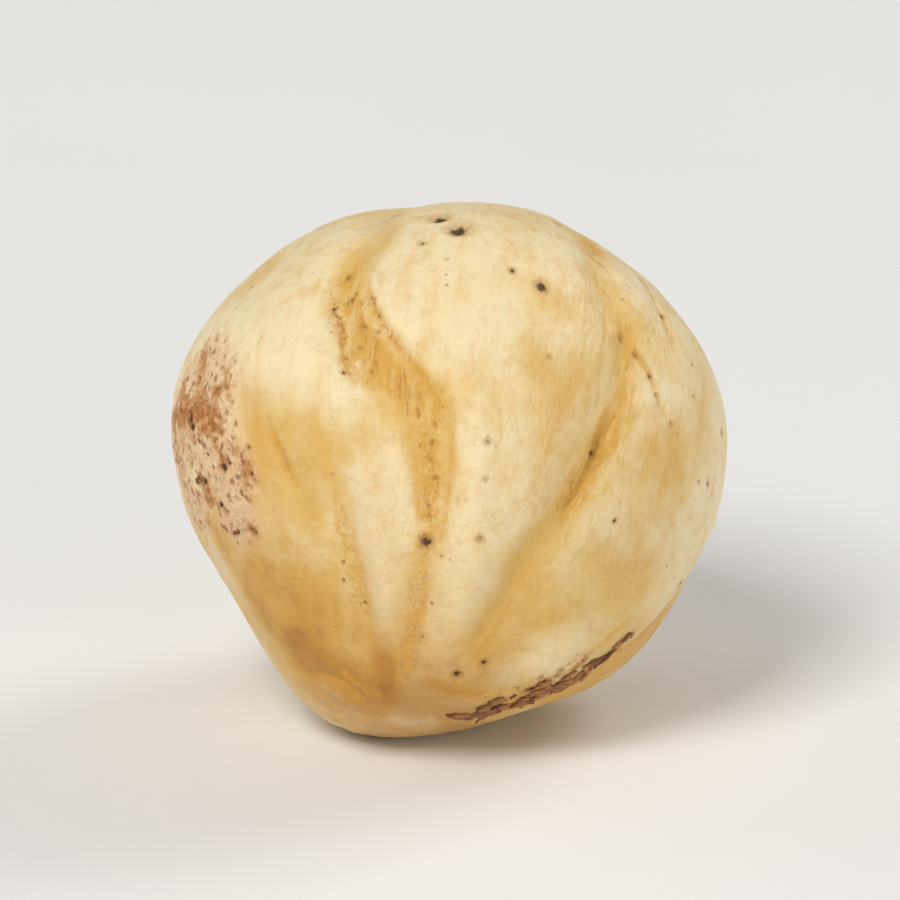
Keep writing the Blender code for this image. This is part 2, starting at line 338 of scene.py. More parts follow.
class FleshSettings(bpy.types.PropertyGroup):
    """Sizes and colours of the nut's flesh."""

    lump_height: length_setting("Lumps", "Height of the broad unevenness", 0.055 * MM)
    wrinkle_height: length_setting("Wrinkles", "Height of the fine wrinkles along the seed", 0.016 * MM)
    pimple_height: length_setting("Pimples", "Height of the finest unevenness", 0.01 * MM)
    scar_height: length_setting("Scar", "Height of the scar's rough surface", 0.055 * MM)
    dents: count_setting("Dents", "How many soft dents there are", 22)
    stray_pinholes: count_setting("Pin-holes", "Pin-holes besides the front's own", 34)
    stray_creases: count_setting("Creases", "Creases besides the front's own", 30)
    # Cream also stands for painted highlight on some crests
    cream: colour_setting("Cream", "Pale flesh on the swells", (0.905, 0.755, 0.46))
    # Straw in the dips is partly painted shade
    straw: colour_setting("Straw", "Warmer flesh between the pale swells", (0.8, 0.535, 0.17))
    gold: colour_setting("Gold", "Stained flesh in the furrows", (0.71, 0.385, 0.062))
    olive: colour_setting("Deep gold", "The darkest parts of the stains", (0.33, 0.155, 0.022))
    # Amber also stands for painted shade and warm bounce light low on the nut
    amber: colour_setting("Amber", "Flesh round the foot and the tip", (0.42, 0.155, 0.012))
    scar_pale: colour_setting("Scar, pale", "Bare fibres of the scar", (0.85, 0.52, 0.29))
    scar_brown: colour_setting("Scar, brown", "Stained pits of the scar", (0.27, 0.095, 0.026))
    film: colour_setting("Film", "Thin film of skin left on the flesh", (0.5, 0.18, 0.028))
    speck: colour_setting("Specks", "Inside of the pin-holes", (0.075, 0.03, 0.008))


class SkinSettings(bpy.types.PropertyGroup):
    """Sizes and colours of the scraps of skin."""

    thickness: length_setting("Thickness", "Thickness of the papery skin", 0.028 * MM)
    curl: length_setting("Curl", "How far a scrap's edges stand off the flesh", 0.16 * MM)
    red_brown: colour_setting("Red-brown", "Outer face of the skin", (0.145, 0.04, 0.013))
    tan: colour_setting("Tan", "Worn and torn skin", (0.44, 0.19, 0.07))


class StageSettings(bpy.types.PropertyGroup):
    """Floor, lights and camera."""

    floor_colour: colour_setting("Floor", "Colour of the floor", (0.88, 0.875, 0.865))
    camera_distance: length_setting("Camera distance", "From the middle of the nut", 0.27)
    frame_share: FloatProperty(
        name="Share of the frame", description="The nut's width as a share of the picture's", default=0.62)


def facing(turn, lift):
    """Unit vector for a direction given in degrees."""
    turn, lift = math.radians(turn), math.radians(lift)
    flat = math.cos(lift)
    return Vector((flat * math.cos(turn), flat * math.sin(turn), math.sin(lift)))


FOOT = facing(FOOT_TURN, FOOT_LIFT)
FRONT = facing(FOOT_TURN, FOOT_LIFT + 90.0)
LEFT = FOOT.cross(FRONT)

RIGHTWARDS = Vector((1.0, 0.0, 0.0))
TOWARDS = facing(-90.0, VIEW_LIFT)
UPWARDS = TOWARDS.cross(RIGHTWARDS)


def smooth_step(value, low=0.0, high=1.0):
    """Rise from 0 at low to 1 at high with level ends, for an array or a number."""
    share = np.clip((value - low) / (high - low), 0.0, 1.0)
    return share * share * (3.0 - 2.0 * share)


def smooth_curve(points, steps=6):
    """Places along a Catmull-Rom curve through given points."""
    points = [Vector(point) for point in points]
    ends = [points[0], *points, points[-1]]
    curve = []
    for before, start, end, after in zip(ends, ends[1:], ends[2:], ends[3:]):
        leave, arrive = (end - before) / 2.0, (after - start) / 2.0
        for step in range(steps):
            share = step / steps
            bend = leave + arrive - 2.0 * (end - start)
            curve.append(start + share * (leave + share * (
                3.0 * (end - start) - 2.0 * leave - arrive + share * bend)))
    return [*curve, points[-1]]


class NutSurface:
    """The nut's surface, for finding places on it."""

    def __init__(self, mesh):
        corners = [vert.co.copy() for vert in mesh.vertices]
        self.tree = BVHTree.FromPolygons(corners, [tuple(face.vertices) for face in mesh.polygons])
        self.middle = sum(
            (self.halfway(corners, axis) * axis for axis in (RIGHTWARDS, UPWARDS, TOWARDS)), Vector())
        low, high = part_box("kernel")
        self.heart = Vector((0.0, 0.0, HEART_HEIGHT * MM))
        self.far = (high - low).length

    @staticmethod
    def halfway(corners, axis):
        """Middle of the corners' extent along an axis."""
        along = [corner.dot(axis) for corner in corners]
        return (min(along) + max(along)) / 2.0

    def seen_at(self, across, up):
        """Place that the camera sees this many mm across and up from the middle."""
        aim = self.middle + RIGHTWARDS * across * MM + UPWARDS * up * MM
        hit = self.tree.ray_cast(aim + TOWARDS * self.far, -TOWARDS)[0]
        return hit or self.tree.find_nearest(aim)[0]

    def on_seed(self, from_foot, around):
        """Place on the seed, from degrees from its foot and round its axis."""
        away, turn = math.radians(from_foot), math.radians(around)
        across = FRONT * math.cos(turn) + LEFT * math.sin(turn)
        outwards = FOOT * math.cos(away) + across * math.sin(away)
        return self.tree.ray_cast(self.heart + outwards * self.far, -outwards)[0]

    def trace(self, front, sides=()):
        """The same lines with curves on the surface in place of their listed points."""
        return [line._replace(path=[find(*point) for point in smooth_curve(line.path)])
                for lines, find in ((front, self.seen_at), (sides, self.on_seed)) for line in lines]


def select_only(piece):
    """Make one object the only selected one, and the active one."""
    bpy.ops.object.select_all(action="DESELECT")
    piece.select_set(True)
    bpy.context.view_layer.objects.active = piece


def set_mode(mode):
    """Go into edit mode or back to object mode."""
    bpy.ops.object.mode_set(mode=mode)


def finish_modifiers(piece):
    """Apply a piece's modifiers in their order."""
    select_only(piece)
    for modifier in list(piece.modifiers):
        bpy.ops.object.modifier_apply(modifier=modifier.name)


def refine_copy(node, name):
    """Copy of a solid's mesh with its points joined, made of quads and subdivided."""
    flesh = bpy.data.objects.new(name, node.data.copy())
    bpy.context.scene.collection.objects.link(flesh)
    flesh.data.materials.clear()
    select_only(flesh)
    set_mode("EDIT")
    bpy.ops.mesh.select_all(action="SELECT")
    bpy.ops.mesh.remove_doubles(threshold=JOIN_WITHIN)
    bpy.ops.mesh.tris_convert_to_quads()
    set_mode("OBJECT")
    soften = flesh.modifiers.new("soften", "SUBSURF")
    soften.levels = soften.render_levels = 2
    finish_modifiers(flesh)
    return flesh


def places_of(mesh):
    """All points of a mesh, as rows."""
    places = np.empty(len(mesh.vertices) * 3)
    mesh.vertices.foreach_get("co", places)
    return places.reshape(-1, 3)


def normals_of(mesh):
    """The direction in which each point of a mesh faces, as rows."""
    normals = np.empty(len(mesh.vertices) * 3)
    mesh.vertex_normals.foreach_get("vector", normals)
    return normals.reshape(-1, 3)


def store(mesh, name, values):
    """Keep a number or a vector for each point of a mesh, for its material."""
    kind, field = ("FLOAT_VECTOR", "vector") if values.ndim == 2 else ("FLOAT", "value")
    kept = mesh.attributes.get(name) or mesh.attributes.new(name, kind, "POINT")
    kept.data.foreach_set(field, values.astype(np.float32).ravel())


def stored(mesh, name):
    """The numbers kept for each point of a mesh."""
    values = np.empty(len(mesh.vertices), np.float32)
    mesh.attributes[name].data.foreach_get("value", values)
    return values.astype(float)


def evened(mesh, rounds):
    """Points after each has moved to the middle of its neighbours, many times over."""
    ends = np.empty(len(mesh.edges) * 2, int)
    mesh.edges.foreach_get("vertices", ends)
    first, second = ends.reshape(-1, 2).T
    places = places_of(mesh)
    total = len(places)
    neighbours = np.bincount(ends, minlength=total)
    for _ in range(rounds):
        places = np.stack([
            np.bincount(first, places[second, axis], total) + np.bincount(second, places[first, axis], total)
            for axis in range(3)], axis=1) / neighbours[:, None]
    return places


def find_hollows(mesh, rounds=150):
    """Keep how far each point lies below the evened surface, in mm."""
    below = ((evened(mesh, rounds) - places_of(mesh)) * normals_of(mesh)).sum(axis=1) / MM
    store(mesh, "hollow", below - np.median(below))


def noise_over(places, size, shift=0.0):
    """Soft noise from -1 to 1 with features of a given size."""
    return np.array([noise.noise(Vector(place) / size + Vector((shift, shift, shift))) for place in places])


def seed_grain(places, heart):
    """Coordinates that run with the seed: two across its axis, and the angle from its foot."""
    outwards = places - np.array(heart)
    outwards /= np.linalg.norm(outwards, axis=1)[:, None]
    from_foot = np.arccos(np.clip(outwards @ np.array(FOOT), -1.0, 1.0))
    return np.stack([outwards @ np.array(FRONT), outwards @ np.array(LEFT), from_foot], axis=1)


def distance_to_path(places, path):
    """Distance of each place from a path, and how far along the path that is, as a share."""
    nearest = np.full(len(places), np.inf)
    along = np.zeros(len(places))
    for index, (start, end) in enumerate(zip(path, path[1:])):
        start, step = np.array(start), np.array(end - start)
        share = np.clip(((places - start) @ step) / max(step @ step, TINY), 0.0, 1.0)
        gap = np.linalg.norm(places - start - share[:, None] * step, axis=1)
        closer = gap < nearest
        nearest[closer] = gap[closer]
        along[closer] = (index + share[closer]) / (len(path) - 1)
    return nearest, along


def lumps(places, height):
    """Broad unevenness of the flesh, in two sizes."""
    return height * (noise_over(places, 2.6 * MM, 3.1) + 0.35 * noise_over(places, 1.1 * MM, 8.4))


def pimples(places, height):
    """Fine unevenness that breaks up the gloss."""
    return height * noise_over(places, 0.38 * MM, 7.7)


def wrinkles(grain, hollow, height):
    """Fine wrinkles that run from foot to tip, stronger in furrows and near both ends."""
    stretched = grain * np.array((13.0, 13.0, 1.7))
    ripple = 1.0 - 2.0 * np.abs(noise_over(stretched, 1.0, 5.7))
    ends = smooth_step(np.abs(grain[:, 2] - math.pi / 2.0), 0.6, 1.45)
    strength = 0.45 + 1.2 * smooth_step(hollow, 0.02, 0.14) + 1.6 * ends
    return height * ripple * strength


def dents(places, surface, count):
    """Soft dents at random places, given as the depth at each point."""
    draw = random.Random(SEED_DENTS)
    depth = np.zeros(len(places))
    for _ in range(count):
        centre = surface.on_seed(math.degrees(math.acos(draw.uniform(-0.95, 0.95))), draw.uniform(-180, 180))
        radius, deep = draw.uniform(0.5, 1.3) * MM, draw.uniform(0.02, 0.06) * MM
        away = np.linalg.norm(places - np.array(centre), axis=1)
        depth += deep * np.exp(-(away / radius) ** 2)
    return depth


def stray_creases(count):
    """Short creases that run along the seed, anywhere but on its front."""
    draw = random.Random(SEED_CREASES)
    creases = []
    for _ in range(count):
        start, around = draw.uniform(18, 140), draw.uniform(55, 305)
        length, drift = draw.uniform(14, 40), draw.uniform(-7, 7)
        path = [(start + length * share, around + drift * share + draw.uniform(-1.5, 1.5))
                for share in (0.0, 0.33, 0.66, 1.0)]
        creases.append(Line(draw.uniform(0.025, 0.06), draw.uniform(0.11, 0.17), path))
    return creases


def line_field(places, lines, fading=0.25):
    """The strongest line at each point: its strength, less to its sides and ends."""
    field = np.zeros(len(places))
    for strength, half_width, path in lines:
        half_width *= MM
        middle = np.array(path[len(path) // 2])
        reach = max(np.linalg.norm(np.array(place) - middle) for place in path) + LINE_REACH * half_width
        near = np.linalg.norm(places - middle, axis=1) < reach
        aside, along = distance_to_path(places[near], path)
        fade = smooth_step(np.minimum(along, 1.0 - along), 0.0, fading)
        shape = strength * fade * np.exp(-(aside / half_width) ** 2)
        field[near] = np.maximum(field[near], shape)
    return field


def all_pinholes(surface, count):
    """Centre, radius and darkness of the front's own pin-holes and of stray ones."""
    holes = [(surface.seen_at(hole.across, hole.up), hole.radius * MM, hole.mark) for hole in FRONT_PINHOLES]
    draw = random.Random(SEED_PINHOLES)
    for _ in range(count):
        from_foot = math.degrees(math.acos(draw.uniform(-0.97, 0.97)))
        centre = surface.on_seed(from_foot, draw.uniform(40, 320))
        holes.append((centre, draw.uniform(0.06, 0.15) * MM, draw.uniform(0.4, 1.0)))
    return holes


def pinhole_field(places, holes):
    """Distance from the nearest pin-hole's centre, in its own radii, and the depth there."""
    spread = np.full(len(places), HOLE_SHOWS)
    depth = np.zeros(len(places))
    for centre, radius, mark in holes:
        radii = np.linalg.norm(places - np.array(centre), axis=1) / radius
        spread = np.minimum(spread, radii + 0.9 * (1.0 - mark))
        rim = HOLE_RIM * np.exp(-((radii - HOLE_RIM_AT) / HOLE_RIM_WIDTH) ** 2)
        depth += radius * mark * HOLE_DEPTH * (np.exp(-radii ** 4) - rim)
    return spread, depth


def scar_field(places, surface):
    """How strongly the scar marks each point, from 0 to 1, with an uneven edge."""
    edge = 0.22 * noise_over(places, 1.1 * MM, 2.2) + 0.1 * noise_over(places, 0.4 * MM, 9.1)
    mark = np.zeros(len(places))
    for patch in SCAR_PATCHES:
        centre = np.array(surface.seen_at(patch.across, patch.up))
        radii = np.linalg.norm(places - centre, axis=1) / (patch.radius * MM)
        mark = np.maximum(mark, 1.0 - smooth_step(radii + edge, 0.25, 1.3))
    return mark


def torn_relief(places, mark, height):
    """Torn, pitted surface of the scar and of the stains, a little below the flesh."""
    torn = 0.55 * noise_over(places, 0.42 * MM, 1.3) + 0.45 * noise_over(places, 0.2 * MM, 6.6)
    return height * mark * (torn - 0.5)


def crown_relief(grain):
    """Creases that run into the tip, and the tiny pit at its very end."""
    away = math.pi - grain[:, 2]
    around = np.arctan2(grain[:, 1], grain[:, 0])
    wander = noise_over(grain * 5.0, 1.0, 4.4)
    fold = np.abs(np.sin(4.5 * around + 1.6 * wander))
    ring = np.exp(-((away - 0.22) / 0.17) ** 2)
    pit = np.exp(-(away / 0.035) ** 2)
    return -CROWN_DEPTH * ring * (1.0 - fold) ** 1.5 - TIP_PIT_DEPTH * pit


def choose(piece, kind, chosen):
    """Go into edit mode with only some points or faces of a piece selected."""
    select_only(piece)
    bpy.context.tool_settings.mesh_select_mode = (kind == "VERT", False, kind == "FACE")
    set_mode("EDIT")
    bpy.ops.mesh.select_all(action="DESELECT")
    set_mode("OBJECT")
    for part in (piece.data.vertices if kind == "VERT" else piece.data.polygons):
        part.select = chosen(part)
    set_mode("EDIT")


def refine_where(flesh, marked):
    """Subdivide the faces whose points are all marked."""
    choose(flesh, "FACE", lambda face: all(marked[index] for index in face.vertices))
    bpy.ops.mesh.subdivide(number_cuts=1)
    set_mode("OBJECT")


def shape_flesh(flesh, surface, settings):
    """Give the refined copy its relief, and keep what its material needs."""
    mesh = flesh.data
    find_hollows(mesh)
    creases = surface.trace(FRONT_CREASES, stray_creases(settings.stray_creases))
    stains = surface.trace(FRONT_STAINS, SIDE_STAINS)
    films = surface.trace(FRONT_FILM, SIDE_FILM)
    ridges = surface.trace(FRONT_RIDGES)
    tints = surface.trace(FRONT_WARMTH_AND_SHADE, SIDE_WARMTH)
    holes = all_pinholes(surface, settings.stray_pinholes)
    places = places_of(mesh)
    tip = seed_grain(places, surface.heart)[:, 2] > math.pi - FINE_TIP
    creased = line_field(places, creases) > FINE_CREASE
    pierced = pinhole_field(places, holes)[0] < FINE_PINHOLE
    refine_where(flesh, creased | pierced | (scar_field(places, surface) > FINE_SCAR) | tip)

    places, normals = places_of(mesh), normals_of(mesh)
    grain = seed_grain(places, surface.heart)
    hollow = stored(mesh, "hollow")
    crease, stain, film = (line_field(places, lines) for lines in (creases, stains, films))
    spread, hole_depth = pinhole_field(places, holes)
    scar = scar_field(places, surface)
    rise = lumps(places, settings.lump_height) + pimples(places, settings.pimple_height)
    rise += wrinkles(grain, hollow, settings.wrinkle_height) + crown_relief(grain)
    torn = np.maximum(scar, STAIN_ROUGHNESS * np.minimum(stain, 1.0))
    rise += torn_relief(places, torn, settings.scar_height)
    rise += MM * (line_field(places, ridges, fading=0.4) - crease)
    rise -= dents(places, surface, settings.dents) + hole_depth
    rise *= smooth_step(places[:, 2], 0.0, FLAT_MARGIN)
    places += normals * rise[:, None]
    places[:, 2] = np.maximum(places[:, 2], 0.0)
    mesh.vertices.foreach_set("co", places.ravel())
    mesh.update()
    mesh.shade_smooth()
    # Pale crests, partly painted highlight on the lobes, the right rim and the bottom edge
    pale = line_field(places, surface.trace(FRONT_PALE_AND_HIGHLIGHT))
    kept = {"grain": grain, "crease": crease / DEEP_CREASE, "stain": stain, "film": film, "pinhole": spread,
            "scar": scar, "warmth_and_shade": line_field(places, tints), "pale": pale}
    for name, values in kept.items():
        store(mesh, name, values)


def feed(tree, socket, value):
    """Link a node's output to a socket, or set a plain value there."""
    if isinstance(value, bpy.types.NodeSocket):
        tree.links.new(value, socket)
    else:
        socket.default_value = value


def add_node(tree, kind, inputs=(), **settings):
    """One shader node with its settings, and its inputs linked or set."""
    made = tree.nodes.new(kind)
    for name, value in settings.items():
        setattr(made, name, value)
    for name, value in dict(inputs).items():
        feed(tree, made.inputs[name], value)
    return made


class Recipe:
    """A material's node tree, with a short call for each kind of step, and its colour so far."""

    def __init__(self, name):
        self.material = bpy.data.materials.new(name)
        self.material.use_nodes = True
        self.tree = self.material.node_tree
        self.shader = self.tree.nodes["Principled BSDF"]
        self.colour = None

    def attribute(self, name, output="Fac"):
        """A value kept for each point of the mesh."""
        return add_node(self.tree, "ShaderNodeAttribute", attribute_name=name).outputs[output]

    def place(self):
        """Place on the piece, in metres."""
        return add_node(self.tree, "ShaderNodeTexCoord").outputs["Object"]

    def stretched(self, vector, amounts):
        """A vector multiplied along each axis."""
        inputs = {"Vector": vector, "Scale": amounts}
        return add_node(self.tree, "ShaderNodeMapping", inputs).outputs["Vector"]

    def noise(self, vector, scale, detail=3.0, roughness=0.5, distortion=0.0):
        """Soft noise from 0 to 1."""
        inputs = {"Vector": vector, "Scale": scale, "Detail": detail, "Roughness": roughness,
                  "Distortion": distortion}
        return add_node(self.tree, "ShaderNodeTexNoise", inputs).outputs["Fac"]

    def cells(self, vector, scale):
        """Distance from the middle of the nearest of many scattered cells."""
        inputs = {"Vector": vector, "Scale": scale}
        return add_node(self.tree, "ShaderNodeTexVoronoi", inputs).outputs["Distance"]

    def band(self, value, low, high, start=0.0, end=1.0):
        """Value mapped smoothly from one range to another."""
        return add_node(self.tree, "ShaderNodeMapRange", {
            "Value": value, "From Min": low, "From Max": high, "To Min": start, "To Max": end},
            interpolation_type="SMOOTHSTEP").outputs["Result"]

    def math(self, operation, first, second=0.0, third=0.0):
        """One step of arithmetic."""
        inputs = {0: first, 1: second, 2: third}
        return add_node(self.tree, "ShaderNodeMath", inputs, operation=operation).outputs["Value"]

    def plus(self, first, second):
        """Sum of two values."""
        return self.math("ADD", first, second)

    def times(self, first, second):
        """Product of two values."""
        return self.math("MULTIPLY", first, second)

    def swing(self, value, reach):
        """Noise from 0 to 1 turned into a swing about zero, half its reach to each side."""
        return self.math("MULTIPLY_ADD", value, reach, -reach / 2.0)

    def blend(self, amount, first, second):
        """Two colours mixed by an amount."""
        inputs = {0: amount, 6: first, 7: second}
        return add_node(self.tree, "ShaderNodeMix", inputs, data_type="RGBA").outputs[2]

    def coat(self, amount, colour):
        """Lay a colour over the colour so far, by an amount."""
        self.colour = self.blend(amount, self.colour, colour)

    def bump(self, height, depth, under=None):
        """Relief too fine for the mesh, of a depth in metres."""
        inputs = {"Height": height, "Distance": depth}
        if under is not None:
            inputs["Normal"] = under
        return add_node(self.tree, "ShaderNodeBump", inputs).outputs["Normal"]

    def finish(self, **sockets):
        """Set or link the shader's own sockets."""
        for name, value in sockets.items():
            feed(self.tree, self.shader.inputs[name.replace("_", " ")], value)
        return self.material


def flesh_material(looks):
    """Nut flesh: cream on the crests, golden stains in the furrows, specks and a scar, and painted highlight
    and shade.
    """
    mix = Recipe("nut_flesh")
    place, grain = mix.place(), mix.attribute("grain", "Vector")
    names = ("hollow", "crease", "stain", "pinhole", "scar", "film", "warmth_and_shade", "pale")
    hollow, crease, stain, pinhole, scar, film, warmth_and_shade, pale = map(mix.attribute, names)
    along = mix.stretched(grain, (14.0, 14.0, 2.0))
    finer = mix.stretched(grain, (34.0, 34.0, 6.0))

    # Pale crests and warmer dips, mottled and streaked along the seed; the dips' warmth is partly painted
    # shade
    broad = mix.noise(place, 400.0, 4.0, 0.55)
    # Straw grows with how deep a point lies: partly the flesh's own tone, partly painted shade
    form = mix.math("MULTIPLY_ADD", hollow, 1.5, broad)
    mix.colour = mix.blend(mix.band(form, 0.36, 0.72, 0.0, 0.95), looks.cream, looks.straw)
    streak = mix.noise(along, 1.0, 5.0, 0.62)
    mix.coat(mix.band(streak, 0.48, 0.7, 0.0, 0.45), looks.straw)
    vein = mix.math("ABSOLUTE", mix.math("SUBTRACT", mix.noise(along, 1.3, 3.0, 0.5, 0.8), 0.5))
    mix.coat(mix.band(vein, 0.0, 0.016, 0.2, 0.0), looks.gold)
    blotch = mix.noise(place, 1500.0, 4.0, 0.6)
    fleck = mix.noise(place, 3200.0, 4.0, 0.7)
    mix.coat(mix.band(blotch, 0.5, 0.68, 0.0, 0.3), looks.gold)

    # Broad warm tints and amber round the foot, partly painted shade and warm bounce light, and amber at the
    # tip
    patchy = mix.plus(broad, streak)
    # Gold, amber and deep brown from the tints: partly painted shade, most at the lower left and bottom
    tint = mix.times(warmth_and_shade, mix.band(patchy, 0.7, 1.3, 0.55, 1.0))
    mix.coat(mix.band(tint, 0.0, 0.9, 0.0, 0.85), looks.gold)
    mix.coat(mix.band(tint, 0.6, 1.5, 0.0, 0.92), looks.amber)
    mix.coat(mix.band(tint, 1.2, 2.3, 0.0, 0.38), looks.scar_brown)
    angle = add_node(mix.tree, "ShaderNodeSeparateXYZ", {0: grain}).outputs["Z"]
    # Gold and amber towards the foot: partly its own tone, partly painted shade and warm bounce light
    foot = mix.plus(angle, mix.swing(streak, 0.9))
    mix.coat(mix.band(foot, 0.2, 0.95, 0.6, 0.0), looks.gold)
    mix.coat(mix.band(foot, 0.05, 0.5, 0.4, 0.0), looks.amber)
    # Cream on the pale crests: partly their own paler flesh, partly painted highlight
    mix.coat(mix.times(pale, mix.band(patchy, 0.7, 1.3, 0.8, 0.25)), looks.cream)
    mix.coat(mix.band(foot, 2.78, 3.1, 0.0, 0.8), looks.amber)

    # Stains with broken edges, brown dashes inside them, and a thin dark outline in places
    ragged = mix.swing(mix.noise(finer, 1.0, 4.0, 0.65), 1.0)
    ragged = mix.plus(ragged, mix.swing(blotch, 0.8))
    # Stains also spread with hollow depth, which is partly painted shade
    stained = mix.plus(mix.plus(stain, ragged), mix.band(hollow, 0.03, 0.16, 0.0, 0.25))
    stained = mix.math("MULTIPLY_ADD", pale, -0.35, stained)
    unstained = mix.colour
    stain_colour = mix.blend(mix.band(tint, 0.6, 1.5, 0.0, 0.9), looks.gold, looks.amber)
    mix.coat(mix.band(stained, 0.1, 0.85, 0.0, 0.82), stain_colour)
    gap = mix.noise(mix.stretched(grain, (22.0, 22.0, 7.0)), 1.0, 4.0, 0.65, 0.4)
    inside = mix.times(mix.band(stained, 0.1, 0.45), mix.band(stained, 0.7, 1.5, 0.8, 0.0))
    mix.coat(mix.times(mix.band(gap, 0.47, 0.58), inside), unstained)
    # Olive cores of the stains, along the right furrow partly painted shade
    core = mix.times(mix.band(stained, 0.9, 1.45), mix.band(fleck, 0.34, 0.56, 0.35, 0.85))
    mix.coat(core, looks.olive)
    dash = mix.noise(mix.stretched(grain, (38.0, 38.0, 12.0)), 1.0, 4.0, 0.7)
    dashes = mix.times(mix.band(dash, 0.5, 0.7), mix.band(stained, 0.3, 1.0))
    mix.coat(mix.times(dashes, 0.85), looks.amber)
    rim = mix.math("ABSOLUTE", mix.math("SUBTRACT", stained, 0.4))
    rims = mix.times(mix.band(rim, 0.0, 0.13, 0.55, 0.0), mix.band(fleck, 0.48, 0.6))
    mix.coat(mix.times(rims, mix.band(stain, 0.15, 0.6)), looks.olive)
    # Gold in the creases, stronger where a crease is deeper: partly the furrows' own stain, partly painted
    # shade
    worn = mix.times(crease, mix.band(dash, 0.36, 0.6, 0.25, 0.85))
    mix.coat(worn, looks.gold)

    # The scar: bare pinkish fibres with stained pits
    scarred = mix.plus(scar, mix.swing(fleck, 2.0))
    crust = mix.noise(place, 4600.0, 5.0, 0.75)
    fibre_colour = mix.blend(mix.band(crust, 0.42, 0.7, 0.0, 0.75), looks.scar_pale, looks.cream)
    mix.coat(mix.band(scarred, 0.1, 1.0, 0.0, 0.85), fibre_colour)
    rust = mix.math("MULTIPLY_ADD", film, 0.3, blotch)
    rusty = mix.times(mix.band(rust, 0.5, 0.7, 0.0, 0.8), mix.band(scarred, 0.2, 0.8))
    mix.coat(rusty, looks.film)
    pits = mix.plus(mix.cells(place, 3800.0), mix.swing(crust, 2.2))
    pitted = mix.times(mix.band(pits, 0.05, 0.42, 0.8, 0.0), mix.band(scar, 0.25, 0.7))
    mix.coat(pitted, looks.scar_brown)
    crusty = mix.times(mix.band(scar, 0.15, 0.6), mix.band(crust, 0.44, 0.54))
    grains = mix.times(mix.band(mix.cells(place, 9000.0), 0.12, 0.4, 0.42, 0.0), crusty)
    mix.coat(grains, looks.scar_brown)

    # Film of skin, torn into flecks at its edges
    filmed = mix.plus(film, mix.swing(fleck, 2.2))
    filmed_colour = mix.blend(mix.band(fleck, 0.44, 0.62), looks.film, looks.amber)
    filmed_colour = mix.blend(mix.band(crust, 0.52, 0.62, 0.0, 0.75), filmed_colour, looks.scar_brown)
    flaked = mix.times(mix.band(crust, 0.38, 0.5, 0.75, 0.0), mix.band(scar, 0.2, 0.6, 0.35, 1.0))
    filmed_colour = mix.blend(flaked, filmed_colour, looks.scar_pale)
    mix.coat(mix.band(filmed, 0.34, 0.72, 0.0, 0.88), filmed_colour)

    # Pin-holes with a pale halo, and sparse freckles
    wobble = mix.swing(mix.noise(place, 9000.0, 2.0), 1.1)
    hole = mix.plus(pinhole, wobble)
    mix.coat(mix.band(hole, 0.8, 2.2, 0.45, 0.0), looks.amber)
    mix.coat(mix.band(hole, 0.5, 0.95, 0.95, 0.0), looks.speck)
    sparse = mix.band(mix.noise(place, 900.0, 1.0), 0.52, 0.62)
    freckle = mix.times(mix.band(mix.cells(place, 1700.0), 0.05, 0.12, 1.0, 0.0), sparse)
    mix.coat(mix.times(freckle, 0.75), looks.scar_brown)

    matt = mix.band(stained, 0.2, 0.9, 0.0, 0.14)
    rough = mix.plus(mix.band(mix.noise(place, 1300.0, 4.0), 0.3, 0.7, 0.31, 0.47), matt)
    rough = mix.plus(rough, mix.band(scarred, 0.1, 0.8, 0.0, 0.25))

    bump = mix.bump(mix.noise(mix.stretched(grain, (52.0, 52.0, 10.0)), 1.0, 5.0, 0.6), 0.048 * MM)
    bump = mix.bump(mix.noise(place, 5200.0, 4.0, 0.6), 0.04 * MM, bump)
    torn = mix.math("MAXIMUM", mix.math("MAXIMUM", scar, filmed), mix.times(stained, 0.5))
    torn = mix.times(mix.noise(place, 6500.0, 4.0, 0.7), mix.math("MINIMUM", torn, 1.0))
    bump = mix.bump(torn, 0.08 * MM, bump)
    return mix.finish(
        Base_Color=mix.colour, Roughness=rough, Normal=bump, Subsurface_Weight=0.28,
        Subsurface_Radius=(1.0, 0.5, 0.2), Subsurface_Scale=0.8 * MM, IOR=1.42)


def skin_material(looks):
    """Papery brown skin, torn and worn to tan in places."""
    mix = Recipe("nut_skin")
    place = mix.place()
    worn = mix.noise(place, 2400.0, 4.0, 0.6)
    mix.colour = mix.blend(mix.band(worn, 0.4, 0.66), looks.red_brown, looks.tan)
    fibres = mix.noise(mix.stretched(mix.attribute("fibre", "Vector"), (1.0, 9.0, 1.0)), 900.0, 3.0)
    mix.coat(mix.band(fibres, 0.45, 0.7, 0.0, 0.5), looks.tan)
    bump = mix.bump(fibres, 0.03 * MM, mix.bump(mix.noise(place, 7000.0, 3.0), 0.015 * MM))
    rough = mix.band(worn, 0.3, 0.7, 0.62, 0.82)
    return mix.finish(Base_Color=mix.colour, Roughness=rough, Normal=bump)


def tear(scrap, draw):
    """Tear a sheet's outline, and keep the part round its middle."""
    shift = Vector((draw.uniform(0.0, 50.0), draw.uniform(0.0, 50.0), 0.0))

    def share_left(flat):
        ragged = 0.42 * noise.noise(flat * 1.6 + shift) + 0.3 * noise.noise(flat * 4.2 + shift)
        return 0.88 + ragged - flat.length

    choose(scrap, "VERT", lambda vert: share_left(vert.co) < 0.0 and vert.co.length > SCRAP_CORE)
    bpy.ops.mesh.delete(type="VERT")
    set_mode("OBJECT")
    choose(scrap, "FACE", lambda face: face.center.length < SCRAP_CORE)
    bpy.ops.mesh.select_linked()
    bpy.ops.mesh.select_all(action="INVERT")
    bpy.ops.mesh.delete(type="FACE")
    bpy.ops.mesh.select_all(action="SELECT")
    bpy.ops.mesh.delete_loose()
    bpy.ops.mesh.select_all(action="SELECT")
    bpy.ops.mesh.vertices_smooth(factor=0.4, repeat=1)
    set_mode("OBJECT")


